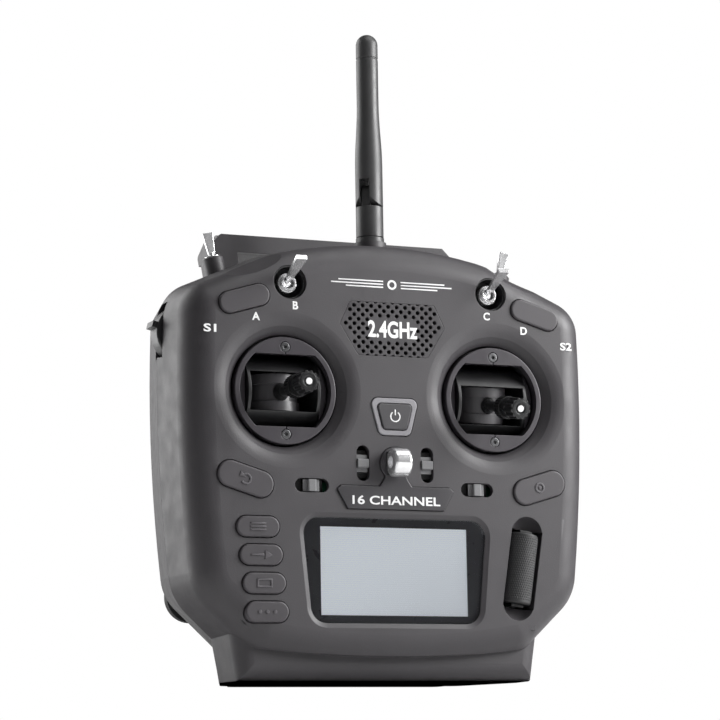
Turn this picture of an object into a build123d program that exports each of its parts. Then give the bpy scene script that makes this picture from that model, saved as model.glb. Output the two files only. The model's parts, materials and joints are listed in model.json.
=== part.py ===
from build123d import *
import os
from math import atan2, cos, degrees, radians, sin, sqrt

os.makedirs("parts", exist_ok=True)

# ---------------------------------------------------------------- frame and driving dimensions
# X right, Y towards the back, Z up.  The origin is on the flat base, under the body.
# Depths (the "d" of face_plane and the names ending in _D) count back from the front face.
FRONT_Y = -38.0          # the front face lies at this Y
SEAM_D = 27.0            # depth of the joint line between front and rear shell
SEAM_GAP = 0.3
BACK_D = 56.0            # depth of the rear shell's flat back
WALL = 2.4

BODY_TOP_Z = 168.5
FRONT_TAPER = 7.0
FRONT_FILLET = 11.5
REAR_TAPER = 11.0
REAR_FILLET = 9.0

CHIN_D = 7.0             # depth of the recessed chin below the face's lower lip
CHIN_TOP_Z = 20.0
CHIN_HALF_BOTTOM = 61.5
CHIN_HALF_TOP = 65.0
CHIN_FILLET = 6.5
LIP_Z = 8.7
LIP_RISE = 4.6           # rise of the lip from the middle to LIP_HALF
LIP_HALF = 66.0
LIP_FILLET = 4.5

GIMBAL_X = 43.0
GIMBAL_Z = 107.5
RING_R = 20.3
RING_D = 2.2
RING_T = 3.0
RING_OPENING_R = 18.2
RING_CHORD = 13.7        # half height of the ring's opening
RING_SCREW_Z = 17.4
WELL_R = 24.3
DISH_R = 29.5
HOUSING_HALF = 19.5
HOUSING_BACK_D = 38.0
PIVOT_D = 17.0
YOKE_R = 14.0
YOKE_WALL = 1.2
YOKE_HALF = 14.4
WINDOW_W = 26.4
WINDOW_H = 14.8
DRUM_R = 10.4
DRUM_HALF = 7.0
BAND_HALF = 3.25         # half height of the groove that the stick comes out of
STICK_POST_R = 2.0
STICK_REACH = 38.5       # from the pivot to the tip of the cap
CAP_R = 4.1
CAP_NUT_R = 4.4
CAP_TEETH = 12
RIGHT_STICK_DROP = 10.0  # the throttle stick rests this far below the middle, degrees

FRONT_TOGGLE = (41.6, 148.4)
CUP_R = 6.6
CUP_DEPTH = 7.0
FRONT_LEVER_ANGLE = 23.5
FRONT_LEVER_PIVOT_D = 4.0
FRONT_LEVER_LENGTH = 17.8
SHOULDER_TOGGLE = (59.8, 31.9, 156.8)    # X, depth, Z of the collar's foot
SHOULDER_LEAN = 12.5     # the shoulder toggles lean outwards, degrees
SHOULDER_COLLAR_R = 4.0
SHOULDER_COLLAR_H = 6.0
SHOULDER_LEVER_LENGTH = 15.6
FACET_R = 60.0           # the leaf-shaped facet in front of it is cut by a round of this radius
FACET_DEPTH = 1.3
FACET_CENTRE = (53.0, 6.3, 156.0)
FACET_NORMAL = (0.36, -0.45, 0.82)
BUSHING_R = 3.0
BUSHING_BORE_R = 2.3
NUT_R = 3.8
LEVER_BALL_R = 2.0

GAP = 0.3                # clearance round buttons in the shell
KEY_PROUD = 0.9
SHOULDER_KEY = (60.0, 141.0, 20.5, 8.3, 16.5)     # X, Z, length, height, tilt
OBLONG_KEY = (60.2, 73.5, 22.5, 10.0, -17.0)
COLUMN_KEYS = [(-55.6, 56.0), (-54.4, 45.6), (-53.3, 35.2), (-52.3, 24.7)]
COLUMN_KEY_SIZE = (17.0, 7.8)

POWER_Z = 98.8
POWER_HALF_TOP = 10.1
POWER_HALF_BOTTOM = 6.35
POWER_HALF_H = 7.1
POWER_BORDER = 2.1       # width of the light ring round the power button's cap

TRIM_V = (13.15, 80.8)
TRIM_H = (33.85, 71.9)
TRIM_SLOT = (13.5, 5.2)
TRIM_NUB = (6.5, 4.4)
TRIM_RIDGE = 3.3

LENS_TOP_Z = 60.1
LENS_BOTTOM_Z = 21.0
LENS_HALF_TOP = 37.7
LENS_HALF_BOTTOM = 33.9
LENS_R = 6.0
LENS_RECESS = 0.8
LENS_T = 1.2
LCD_HALF = 30.0
LCD_Z = (23.9, 56.9)
BEVEL = 1.9              # width of the sloping border round the lens

ROLLER = (52.45, 42.3)
ROLLER_TILT = 9.0
ROLLER_R = 6.1
ROLLER_LENGTH = 27.0
ROLLER_D = 3.5
ROLLER_AXLE_R = 1.5
ROLLER_SLOT = (40.5, 13.2)

GRILLE_TOP = (17.5, 142.5)
GRILLE_TIP = (21.6, 133.8)
GRILLE_BOTTOM = (14.3, 122.0)
GRILLE_T = 1.6
GRILLE_HOLE_R = 0.8
GRILLE_PITCH = 3.5
GRILLE_ROW = 1.75
GRILLE_CENTRE_Z = 132.25
GRILLE_BADGE = (10.5, 4.6)                # half size of the plain patch in its middle
SPEAKER_R = 16.0

PLATE_TIP = (23.9, 70.9)
PLATE_TOP_Z = 72.3
PLATE_BOTTOM = (19.65, 63.5)
PLATE_STEM = 4.6
PLATE_HEAD_R = 6.3
PLATE_T = 2.2
PLATE_PROUD = 0.7
EYELET_Z = 81.0
EYELET_R = 5.3
EYELET_HOLE_R = 2.3
EYELET_HALF = 3.6
EYELET_D = -4.0

DIAL_X = 75.5
DIAL_Z = 131.0
DIAL_R = 11.0
DIAL_HALF = 4.0          # half thickness, along Y
DIAL_FIN = 12.9          # reach of the thumb fin from the dial's axis
DIAL_AXLE_R = 2.0

ANTENNA_D = 20.5
ANTENNA_BOSS_R = 6.3
ANTENNA_R = 5.35
ANTENNA_BASE_TOP_Z = 171.5
KNUCKLE_Z = (171.8, 183.8)
HINGE_Z = 189.4
TONGUE_HALF = 1.75
HINGE_PIN_R = 1.2
MAST_WAIST_Z = 225.0
MAST_TIP_R = 4.3
MAST_TOP_Z = 253.5
MAST_GROOVE_Z = 243.5

HANDLE_HALF = 50.0
HANDLE_TOP_Z = 178.0
HANDLE_FRONT_D = 58.0
HANDLE_BACK_D = 84.0
HANDLE_FOOT_Z = 132.0
HANDLE_OPEN_HALF = 41.0
HANDLE_BAR = 7.0

BAY_HALF = 45.0          # battery bay
BAY_TOP_Z = 62.0
BAY_BACK_D = 66.0
CELL_R = 9.2
CELL_LENGTH = 65.0
CELL_ZS = (19.0, 42.0)
CELL_D = 53.0
COVER_T = 1.4
COVER_TRAVEL = 14.0
MODULE_HALF = 28.0       # cover of the plug-in module bay
MODULE_HALF_Z = 24.0
MODULE_Z = 98.0
SHELL_SCREWS = [(-52.0, 139.0), (52.0, 139.0), (-61.0, 91.0), (61.0, 91.0)]
SCREW_HEAD_R = 2.6
SCREW_R = 1.4
GRIP_X = 60.0
GRIP_Z = 53.0
GRIP_SIZE = (58.0, 20.0)
GRIP_T = 9.0


# ---------------------------------------------------------------- helpers
def face_plane(d=0.0):
    """Plane parallel to the front face at depth d: local x is X, local y is Z, it faces the user."""
    return Plane(origin=(0, FRONT_Y + d, 0), x_dir=(1, 0, 0), z_dir=(0, -1, 0))


def control_plane(x, z, d=0.0, tilt=0.0):
    """Plane of one control on the front face, turned by tilt degrees in the face."""
    turn = radians(tilt)
    return Plane(origin=(x, FRONT_Y + d, z), x_dir=(cos(turn), 0, sin(turn)), z_dir=(0, -1, 0))


def save(piece, name):
    """Label a finished piece and write its STEP file."""
    piece.part.label = name
    export_step(piece.part, f"parts/{name}.step")


def side_name(side):
    """Name of the side that a sign of X stands for."""
    return "left" if side < 0 else "right"


def pod_outline(inset=0.0):
    """Outline of the main body at its widest, above the chin, as a face on XY."""
    with BuildSketch() as sketch:
        with BuildLine():
            top = ThreePointArc((-45, 163), (0, BODY_TOP_Z), (45, 163))
            Line(top @ 1, (84.3, 145.8))
            ThreePointArc((84.3, 145.8), (85.2, 112), (80.1, 31))
            Line((80.1, 31), (56, 8.5))
            ThreePointArc((56, 8.5), (0, 3), (-56, 8.5))
            Line((-56, 8.5), (-80.1, 31))
            ThreePointArc((-80.1, 31), (-85.2, 112), (-84.3, 145.8))
            Line((-84.3, 145.8), top @ 0)
        make_face()
        fillet(sketch.vertices().filter_by(lambda v: v.Y > 160), 60)
        fillet(sketch.vertices().filter_by(lambda v: 140 < v.Y < 147), 16)
        fillet(sketch.vertices().filter_by(lambda v: 28 < v.Y < 34), 22)
        fillet(sketch.vertices().filter_by(lambda v: v.Y < 10), 14)
        if inset:
            offset(amount=-inset)
    return sketch.sketch


def pod(depth, taper, radius, forwards, inset=0.0):
    """Main body volume from the seam, forwards or backwards, with its far edge rounded."""
    plane = face_plane(SEAM_D)
    direction = 1 if forwards else -1
    with BuildPart() as body:
        with BuildSketch(plane):
            add(pod_outline(inset))
        extrude(amount=direction * depth, taper=taper)
        far = body.faces().sort_by(Axis.Y)[0 if forwards else -1]
        fillet(far.edges(), radius)
    return body.part



def slab(shape, d_front, d_back, edge=0.0):
    """A flat solid from a face drawn in X and Z, with its front edge rounded by edge."""
    with BuildPart() as piece:
        with BuildSketch(face_plane(d_back)):
            add(shape)
        extrude(amount=d_back - d_front)
        if edge:
            fillet(piece.faces().sort_by(Axis.Y)[0].edges(), edge)
    return piece.part


def opening(shape, depth):
    """Cutter for an opening that runs from in front of the face back to depth."""
    return slab(shape, -1.0, depth)


def trapezoid(half_top, half_bottom, z_low, z_high, radius, grow=0.0):
    """Upright symmetric trapezoid with rounded corners, as a face on XY."""
    with BuildSketch() as sketch:
        corners = [(-half_bottom, z_low), (half_bottom, z_low), (half_top, z_high), (-half_top, z_high)]
        Polygon(*corners, align=None)
        fillet(sketch.vertices(), radius)
        if grow:
            offset(amount=grow)
    return sketch.sketch


def pill(x, z, length, height, tilt=0.0, grow=0.0):
    """Pill shape centred at x, z and turned by tilt degrees, as a face on XY."""
    with BuildSketch() as sketch:
        with Locations((x, z)):
            SlotOverall(length + 2 * grow, height + 2 * grow, rotation=tilt)
    return sketch.sketch


def disc(x, z, radius):
    """Round face on XY."""
    with BuildSketch() as sketch:
        with Locations((x, z)):
            Circle(radius)
    return sketch.sketch


def label_outline(grow=0.0):
    """The T-shaped label plate with its round head under the strap eyelet, as a face on XY."""
    tip_x, tip_z = PLATE_TIP
    bottom_x, bottom_z = PLATE_BOTTOM
    with BuildSketch() as sketch:
        Polygon(
            (-bottom_x, bottom_z), (bottom_x, bottom_z), (tip_x, tip_z), (tip_x - 1.6, PLATE_TOP_Z),
            (PLATE_STEM + 2, PLATE_TOP_Z), (PLATE_STEM, PLATE_TOP_Z + 3), (PLATE_STEM, EYELET_Z),
            (-PLATE_STEM, EYELET_Z), (-PLATE_STEM, PLATE_TOP_Z + 3), (-PLATE_STEM - 2, PLATE_TOP_Z),
            (-tip_x + 1.6, PLATE_TOP_Z), (-tip_x, tip_z),
            align=None,
        )
        with Locations((0, EYELET_Z)):
            Circle(PLATE_HEAD_R)
        if grow:
            offset(amount=grow)
    return sketch.sketch


def eyelet_seat(grow=0.0):
    """The opening in the plate that the eyelet stands in, as a face on XY."""
    with BuildSketch() as sketch:
        with Locations((0, EYELET_Z)):
            Rectangle(2 * (EYELET_HALF + grow), 2 * (EYELET_R - 1.1 + grow))
    return sketch.sketch


def module_outline(grow=0.0):
    """Rounded outline of the module bay's cover, as a face on XY."""
    with BuildSketch() as sketch:
        with Locations((0, MODULE_Z)):
            RectangleRounded(2 * (MODULE_HALF + grow), 2 * (MODULE_HALF_Z + grow), 6)
    return sketch.sketch


def grille_outline(grow=0.0):
    """The six-sided outline of the speaker grille, as a face on XY."""
    points = [GRILLE_BOTTOM, GRILLE_TIP, GRILLE_TOP]
    mirrored = [(-x, z) for x, z in reversed(points)]
    with BuildSketch() as sketch:
        Polygon(*points, *mirrored, align=None)
        fillet(sketch.vertices(), 1.5)
        if grow:
            offset(amount=grow)
    return sketch.sketch


def grille_holes():
    """Centres of the grille's holes: staggered rows, clear of the rim and of the plain middle."""
    tip_x, tip_z = GRILLE_TIP
    top_x, top_z = GRILLE_TOP
    bottom_x, bottom_z = GRILLE_BOTTOM
    rim = 1.4
    centres = []
    for row in range(-6, 7):
        z = GRILLE_CENTRE_Z + row * GRILLE_ROW
        if z > tip_z:
            reach = tip_x + (top_x - tip_x) * (z - tip_z) / (top_z - tip_z)
        else:
            reach = tip_x + (bottom_x - tip_x) * (tip_z - z) / (tip_z - bottom_z)
        for column in range(-7, 8):
            x = (column + 0.5 * (row % 2)) * GRILLE_PITCH
            in_badge = abs(x) < GRILLE_BADGE[0] and abs(z - GRILLE_CENTRE_Z) < GRILLE_BADGE[1]
            if abs(x) < reach - rim and not in_badge:
                centres.append((x, z))
    return centres


def control_list():
    """Every pill-shaped key: node name, X, Z, length, height and tilt."""
    keys = []
    for side in (-1, 1):
        for base, key in (("shoulder_key", SHOULDER_KEY), ("oblong_key", OBLONG_KEY)):
            x, z, length, height, tilt = key
            keys.append((f"{base}_{side_name(side)}", side * x, z, length, height, -side * tilt))
    for number, (x, z) in enumerate(COLUMN_KEYS, start=1):
        keys.append((f"column_key_{number}", x, z, *COLUMN_KEY_SIZE, 0.0))
    return keys


def trim_list():
    """Every trim: node name, X, Z and whether its slot is upright."""
    trims = []
    for side in (-1, 1):
        trims.append((f"trim_upright_{side_name(side)}", side * TRIM_V[0], TRIM_V[1], True))
        trims.append((f"trim_level_{side_name(side)}", side * TRIM_H[0], TRIM_H[1], False))
    return trims


def lever_plane(pivot, lean_x, lean_z):
    """Plane at a lever's pivot whose local z runs up the lever and local x across its paddle."""
    length = sqrt(sum(part ** 2 for part in lean_z))
    direction = tuple(part / length for part in lean_z)
    return Plane(origin=pivot, x_dir=lean_x, z_dir=direction)


def front_lever_frame(side):
    """Pivot plane of a toggle on the front face; its paddle leans upwards."""
    pivot = (side * FRONT_TOGGLE[0], FRONT_Y + FRONT_LEVER_PIVOT_D, FRONT_TOGGLE[1])
    angle = radians(FRONT_LEVER_ANGLE)
    return lever_plane(pivot, (1, 0, 0), (0, -cos(angle), sin(angle)))


def shoulder_frame(side, rise=0.0):
    """Plane across a shoulder toggle's axis, rise millimetres above the collar's foot."""
    x, d, z = SHOULDER_TOGGLE
    lean = radians(SHOULDER_LEAN)
    origin = (side * (x + rise * sin(lean)), FRONT_Y + d, z + rise * cos(lean))
    return Plane(origin=origin, x_dir=(cos(lean), 0, -side * sin(lean)), z_dir=(side * sin(lean), 0, cos(lean)))


def stick_frame(side):
    """Plane at a gimbal's pivot whose local z runs along the stick and local x along X."""
    drop = radians(RIGHT_STICK_DROP if side > 0 else 0.0)
    origin = (side * GIMBAL_X, FRONT_Y + PIVOT_D, GIMBAL_Z)
    return Plane(origin=origin, x_dir=(1, 0, 0), z_dir=(0, -cos(drop), -sin(drop)))


def roller_frame(d=ROLLER_D, along=0.0):
    """Plane across the roller's axis at depth d, along millimetres up the axis from its middle."""
    tilt = radians(ROLLER_TILT)
    origin = (ROLLER[0] + along * sin(tilt), FRONT_Y + d, ROLLER[1] + along * cos(tilt))
    return Plane(origin=origin, x_dir=(cos(tilt), 0, -sin(tilt)), z_dir=(sin(tilt), 0, cos(tilt)))


def dial_centre(side):
    """Axis point of a side dial, on the seam."""
    return (side * DIAL_X, FRONT_Y + SEAM_D, DIAL_Z)


# ---------------------------------------------------------------- shells
with BuildPart() as lip_block:
    with BuildSketch(face_plane(SEAM_D)):
        with BuildLine():
            edge_rise = LIP_RISE * (95 / LIP_HALF) ** 2
            lip = ThreePointArc((-95, LIP_Z + edge_rise), (0, LIP_Z), (95, LIP_Z + edge_rise))
            Polyline(lip @ 1, (95, 180), (-95, 180), lip @ 0)
        make_face()
    extrude(amount=SEAM_D)
    lip_face = lip_block.faces().sort_by(Axis.Y)[0]
    fillet(lip_face.edges().sort_by(Axis.Z)[0], LIP_FILLET)

with BuildPart() as chin:
    for d, half_bottom, half_top in ((SEAM_D, CHIN_HALF_BOTTOM, CHIN_HALF_TOP), (CHIN_D, 59.5, 62.5)):
        with BuildSketch(face_plane(d)):
            Polygon((-half_bottom, 0), (half_bottom, 0), (half_top, CHIN_TOP_Z), (-half_top, CHIN_TOP_Z), align=None)
    loft()
    chin_face = chin.faces().sort_by(Axis.Y)[0]
    fillet(chin_face.edges().sort_by(Axis.Z)[:3], CHIN_FILLET)

with BuildPart() as front_cavity:
    add(pod(SEAM_D - WALL, FRONT_TAPER, FRONT_FILLET - WALL, True, WALL))
    split(bisect_by=Plane.XY.offset(14.0), keep=Keep.TOP)

facet_cutters = []
for side in (-1, 1):
    x, d, z = FACET_CENTRE
    normal = Vector(side * FACET_NORMAL[0], FACET_NORMAL[1], FACET_NORMAL[2]).normalized()
    along = Vector(0, 1, 0).cross(normal).normalized()
    centre = Vector(side * x, FRONT_Y + d, z) + normal * (FACET_R - FACET_DEPTH)
    with BuildPart(Plane(origin=centre, x_dir=along, z_dir=normal.cross(along))) as facet:
        Cylinder(FACET_R, 34)
    facet_cutters.append(facet.part)

with BuildPart() as front_shell:
    add(pod(SEAM_D, FRONT_TAPER, FRONT_FILLET, True))
    add(lip_block.part, mode=Mode.INTERSECT)
    add(chin.part)
    with Locations((0, FRONT_Y + ANTENNA_D, BODY_TOP_Z + 1.1)):
        Cylinder(ANTENNA_BOSS_R, 6, align=(Align.CENTER, Align.CENTER, Align.MAX))
    add(front_cavity.part, mode=Mode.SUBTRACT)
    with Locations((0, FRONT_Y + (SEAM_D + CHIN_D + WALL) / 2, 7.0)):
        Box(2 * 54, SEAM_D - CHIN_D - WALL, 8.6, mode=Mode.SUBTRACT)
    # thick rims round the gimbal wells, the roller and the antenna
    with BuildSketch(face_plane(8.0)):
        with Locations((-GIMBAL_X, GIMBAL_Z), (GIMBAL_X, GIMBAL_Z)):
            Circle(26.5)
        with Locations(ROLLER):
            Rectangle(18, 45, rotation=-ROLLER_TILT)
    extrude(amount=6.5)
    with Locations((0, FRONT_Y + ANTENNA_D, BODY_TOP_Z - 1.0)):
        Cylinder(ANTENNA_BOSS_R, 8, align=(Align.CENTER, Align.CENTER, Align.MAX))
    with Locations((0, FRONT_Y + ANTENNA_D, BODY_TOP_Z)):
        Cylinder(4.2, 30, mode=Mode.SUBTRACT)
    # gimbal wells: a soft dish, a steep cone and the bore that the ring drops into
    for side in (-1, 1):
        axis_point = (side * GIMBAL_X, FRONT_Y, GIMBAL_Z)
        with BuildSketch(Plane(origin=axis_point, x_dir=(1, 0, 0), z_dir=(0, 0, 1))):
            with BuildLine():
                Polyline((0, -1), (DISH_R, -1), (DISH_R, 0))
                ThreePointArc((DISH_R, 0), (26.9, 0.31), (WELL_R, 1.3))
                Polyline((WELL_R, 1.3), (RING_R + 0.9, 4.2), (RING_R + 0.3, 9), (0, 9), (0, -1))
            make_face()
        revolve(axis=Axis(axis_point, (0, 1, 0)), mode=Mode.SUBTRACT)
    # openings for the controls
    for name, x, z, length, height, tilt in control_list():
        add(opening(pill(x, z, length, height, tilt, GAP), 5), mode=Mode.SUBTRACT)
        add(slab(pill(x, z, length, height, tilt, 1.3), WALL + 0.2, 6), mode=Mode.SUBTRACT)
    for name, x, z, upright in trim_list():
        add(opening(pill(x, z, *TRIM_SLOT, 90 if upright else 0), 5), mode=Mode.SUBTRACT)
    for side in (-1, 1):
        add(opening(disc(side * FRONT_TOGGLE[0], FRONT_TOGGLE[1], CUP_R), 5), mode=Mode.SUBTRACT)
    power_low = POWER_Z - POWER_HALF_H
    power_high = POWER_Z + POWER_HALF_H
    add(opening(trapezoid(POWER_HALF_TOP, POWER_HALF_BOTTOM, power_low, power_high, 2.6, 0.3), 5), mode=Mode.SUBTRACT)
    add(opening(grille_outline(0.08), 5), mode=Mode.SUBTRACT)
    add(opening(label_outline(0.15), PLATE_T - PLATE_PROUD), mode=Mode.SUBTRACT)
    add(opening(disc(0, EYELET_Z, 1.55), 5), mode=Mode.SUBTRACT)
    # sloping border, window and seat of the screen
    add(opening(trapezoid(LENS_HALF_TOP, LENS_HALF_BOTTOM, LENS_BOTTOM_Z, LENS_TOP_Z, LENS_R, 0.1), 5), mode=Mode.SUBTRACT)
    with BuildSketch(face_plane(0)):
        add(trapezoid(LENS_HALF_TOP, LENS_HALF_BOTTOM, LENS_BOTTOM_Z, LENS_TOP_Z, LENS_R, BEVEL))
    with BuildSketch(face_plane(LENS_RECESS)):
        add(trapezoid(LENS_HALF_TOP, LENS_HALF_BOTTOM, LENS_BOTTOM_Z, LENS_TOP_Z, LENS_R, 0.1))
    loft(mode=Mode.SUBTRACT)
    # roller: scooped ends and the through opening
    with BuildPart(roller_frame(-1.5, 0), mode=Mode.PRIVATE) as scoop:
        half = ROLLER_SLOT[0] / 2 - ROLLER_SLOT[1] / 2
        Cylinder(ROLLER_SLOT[1] / 2, 2 * half)
        with Locations((0, 0, half), (0, 0, -half)):
            Sphere(ROLLER_SLOT[1] / 2)
    add(scoop.part, mode=Mode.SUBTRACT)
    with BuildSketch(face_plane(-4)):
        with Locations(ROLLER):
            Rectangle(13.0, ROLLER_LENGTH + 3.2, rotation=-ROLLER_TILT)
    extrude(amount=-14, mode=Mode.SUBTRACT)
    # side dial slots, and the round facets under the shoulder toggles
    for side in (-1, 1):
        with Locations(Location(dial_centre(side), (90, 0, 0))):
            Cylinder(DIAL_FIN + 0.5, 2 * DIAL_HALF + 0.8, mode=Mode.SUBTRACT)
    for cutter in facet_cutters:
        add(cutter, mode=Mode.SUBTRACT)
save(front_shell, "front_shell")

with BuildPart() as rear_cavity:
    add(pod(BACK_D - SEAM_D - WALL, REAR_TAPER, REAR_FILLET - WALL, False, WALL))
    split(bisect_by=Plane.XY.offset(WALL), keep=Keep.TOP)

with BuildPart() as base_block:
    for d, half_bottom, half_top in ((SEAM_D, CHIN_HALF_BOTTOM, CHIN_HALF_TOP), (BAY_BACK_D - 8, 50, 54)):
        with BuildSketch(face_plane(d)):
            Polygon((-half_bottom, 0), (half_bottom, 0), (half_top, CHIN_TOP_Z), (-half_top, CHIN_TOP_Z), align=None)
    loft()
    block_face = base_block.faces().sort_by(Axis.Y)[-1]
    fillet(block_face.edges().sort_by(Axis.Z)[1:], 5)

with BuildPart() as bay_block:
    with BuildSketch(face_plane(BAY_BACK_D)):
        with Locations((0, BAY_TOP_Z / 2)):
            Rectangle(2 * BAY_HALF, BAY_TOP_Z)
    extrude(amount=BAY_BACK_D - SEAM_D - 1)
    bay_face = bay_block.faces().sort_by(Axis.Y)[-1]
    fillet(bay_block.edges().filter_by(Axis.Y).group_by(Axis.Z)[-1], 8)
    fillet(bay_block.faces().sort_by(Axis.Y)[-1].edges().sort_by(Axis.Z)[1:], 3)

with BuildPart() as rear_shell:
    add(pod(BACK_D - SEAM_D, REAR_TAPER, REAR_FILLET, False))
    add(base_block.part)
    add(bay_block.part)
    add(rear_cavity.part, mode=Mode.SUBTRACT)
    # space in the base, and the battery bay, open to the back
    with Locations((0, FRONT_Y + (SEAM_D + 46) / 2, WALL)):
        Box(98, 46 - SEAM_D + 0.1, 18, align=(Align.CENTER, Align.CENTER, Align.MIN), mode=Mode.SUBTRACT)
    with Locations((0, FRONT_Y + (SEAM_D + BAY_BACK_D) / 2, BAY_TOP_Z / 2)):
        Box(2 * BAY_HALF - 6, BAY_BACK_D - SEAM_D + 1, BAY_TOP_Z - 6, mode=Mode.SUBTRACT)
    # a thin cut at the seam keeps the two shells apart
    with Locations((0, FRONT_Y + SEAM_D, 90)):
        Box(200, 2 * SEAM_GAP, 200, mode=Mode.SUBTRACT)
    # ledge that the battery cover lies in, and the slot of the module bay's cover
    with Locations((0, FRONT_Y + BAY_BACK_D, 1.5)):
        Box(2 * BAY_HALF - 3, 3.2, BAY_TOP_Z, align=(Align.CENTER, Align.CENTER, Align.MIN), mode=Mode.SUBTRACT)
    add(slab(module_outline(0.2), BACK_D - 0.8, BACK_D + 1), mode=Mode.SUBTRACT)
    # holes for the shoulder toggles and slots for the side dials
    for side in (-1, 1):
        with Locations(Location(shoulder_frame(side).location)):
            Cylinder(SHOULDER_COLLAR_R + 0.05, 24, mode=Mode.SUBTRACT)
        with Locations(Location(dial_centre(side), (90, 0, 0))):
            Cylinder(DIAL_FIN + 0.5, 2 * DIAL_HALF + 0.8, mode=Mode.SUBTRACT)
    # screw holes
    for x, z in SHELL_SCREWS:
        add(slab(disc(x, z, SCREW_HEAD_R + 0.2), BACK_D - 1.6, BACK_D + 1), mode=Mode.SUBTRACT)
        add(slab(disc(x, z, SCREW_R + 0.1), BACK_D - 8, BACK_D), mode=Mode.SUBTRACT)
save(rear_shell, "rear_shell")


# ---------------------------------------------------------------- keys, trims and power button
for name, x, z, length, height, tilt in control_list():
    with BuildPart() as key:
        add(slab(pill(x, z, length, height, tilt), -KEY_PROUD, 2.9, 0.7))
        add(slab(pill(x, z, length, height, tilt, 0.9), 2.9, 3.9))
    save(key, name)

for name, x, z, upright in trim_list():
    turn = 90 if upright else 0
    nub_length, nub_height = TRIM_NUB
    with BuildPart(control_plane(x, z, 2.9, turn)) as trim:
        Box(nub_length, nub_height, 1.9, align=(Align.CENTER, Align.CENTER, Align.MIN))
        Box(TRIM_RIDGE, nub_height, 3.5, align=(Align.CENTER, Align.CENTER, Align.MIN))
        fillet(trim.faces().sort_by(Axis.Y)[0].edges().filter_by(lambda e: e.length > nub_height - 0.1), 0.5)
        Box(10.4, 7.2, 1.0, align=(Align.CENTER, Align.CENTER, Align.MAX))
    save(trim, name)

power_z = (POWER_Z - POWER_HALF_H, POWER_Z + POWER_HALF_H)
power_inner = (power_z[0] + POWER_BORDER, power_z[1] - POWER_BORDER)
cap_top = POWER_HALF_TOP - POWER_BORDER - 0.5
cap_bottom = POWER_HALF_BOTTOM - POWER_BORDER + 0.6
with BuildPart() as power_ring:
    add(slab(trapezoid(POWER_HALF_TOP, POWER_HALF_BOTTOM, *power_z, 2.6), -0.5, 3.2, 0.35))
    add(slab(trapezoid(cap_top, cap_bottom, *power_inner, 1.6, 0.25), -2, 4), mode=Mode.SUBTRACT)
save(power_ring, "power_ring")

with BuildPart() as power_button:
    add(slab(trapezoid(cap_top, cap_bottom, *power_inner, 1.6), -1.0, 3.6, 0.5))
    add(slab(trapezoid(cap_top, cap_bottom, *power_inner, 1.6, 0.7), 3.6, 4.6))
save(power_button, "power_button")

# ---------------------------------------------------------------- screen
with BuildPart() as screen_lens:
    lens = trapezoid(LENS_HALF_TOP, LENS_HALF_BOTTOM, LENS_BOTTOM_Z, LENS_TOP_Z, LENS_R)
    add(slab(lens, LENS_RECESS, LENS_RECESS + LENS_T))
save(screen_lens, "screen_lens")

lcd_middle = (LCD_Z[0] + LCD_Z[1]) / 2
lcd_height = LCD_Z[1] - LCD_Z[0]
with BuildSketch() as lcd_window:
    with Locations((0, lcd_middle)):
        Rectangle(2 * LCD_HALF, lcd_height)

with BuildPart() as screen_mask:
    add(slab(lens, LENS_RECESS + LENS_T + 0.05, LENS_RECESS + LENS_T + 0.55))
    add(slab(lcd_window.sketch, 0, 5), mode=Mode.SUBTRACT)
save(screen_mask, "screen_mask")

with BuildPart() as lcd_panel:
    with BuildSketch(face_plane(2.65)):
        with Locations((0, lcd_middle)):
            Rectangle(2 * LCD_HALF + 5, lcd_height + 4)
    extrude(amount=-3.2)
save(lcd_panel, "lcd_panel")

# ---------------------------------------------------------------- label plate, eyelet, grille, speaker
with BuildPart() as label_plate:
    add(slab(label_outline(), -PLATE_PROUD, PLATE_T - PLATE_PROUD - 0.05))
    fillet(label_plate.faces().sort_by(Axis.Y)[0].edges(), 0.35)
    add(slab(eyelet_seat(0.2), -2, 4), mode=Mode.SUBTRACT)
save(label_plate, "label_plate")

with BuildPart() as strap_eyelet:
    eyelet_axis = Location((0, FRONT_Y + EYELET_D, EYELET_Z), (0, 90, 0))
    with Locations(eyelet_axis):
        Cylinder(EYELET_R, 2 * EYELET_HALF)
    rims = strap_eyelet.edges().filter_by(GeomType.CIRCLE)
    fillet(rims, 1.3)
    with Locations(eyelet_axis):
        Cylinder(EYELET_HOLE_R, 20, mode=Mode.SUBTRACT)
    with BuildSketch(face_plane(7.0)):
        with Locations((0, EYELET_Z)):
            Circle(1.5)
    extrude(amount=7.0 - EYELET_D - EYELET_HOLE_R - 0.5)
save(strap_eyelet, "strap_eyelet")

with BuildPart() as speaker_grille:
    add(slab(grille_outline(), 0, WALL + 0.1))
    add(slab(grille_outline(1.6), WALL + 0.1, WALL + 0.9))
    with BuildSketch(face_plane(-1)):
        with Locations(*grille_holes()):
            Circle(GRILLE_HOLE_R)
    extrude(amount=-6, mode=Mode.SUBTRACT)
save(speaker_grille, "speaker_grille")

with BuildPart() as speaker:
    with BuildSketch(Plane(origin=(0, FRONT_Y, GRILLE_CENTRE_Z), x_dir=(1, 0, 0), z_dir=(0, 0, 1))):
        with BuildLine():
            Polyline((0, 5.2), (6, 6.4), (13, 4.2), (SPEAKER_R, 4.2), (SPEAKER_R, 5.6), (9, 9), (9, 13), (0, 13), (0, 5.2))
        make_face()
    revolve(axis=Axis((0, FRONT_Y, GRILLE_CENTRE_Z), (0, 1, 0)))
save(speaker, "speaker")

# ---------------------------------------------------------------- gimbals
ring_back = RING_D + RING_T
screw_rise = RING_SCREW_Z - 0.9
screw_places = [(side * GIMBAL_X, GIMBAL_Z + end * screw_rise) for side in (-1, 1) for end in (-1, 1)]

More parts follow.
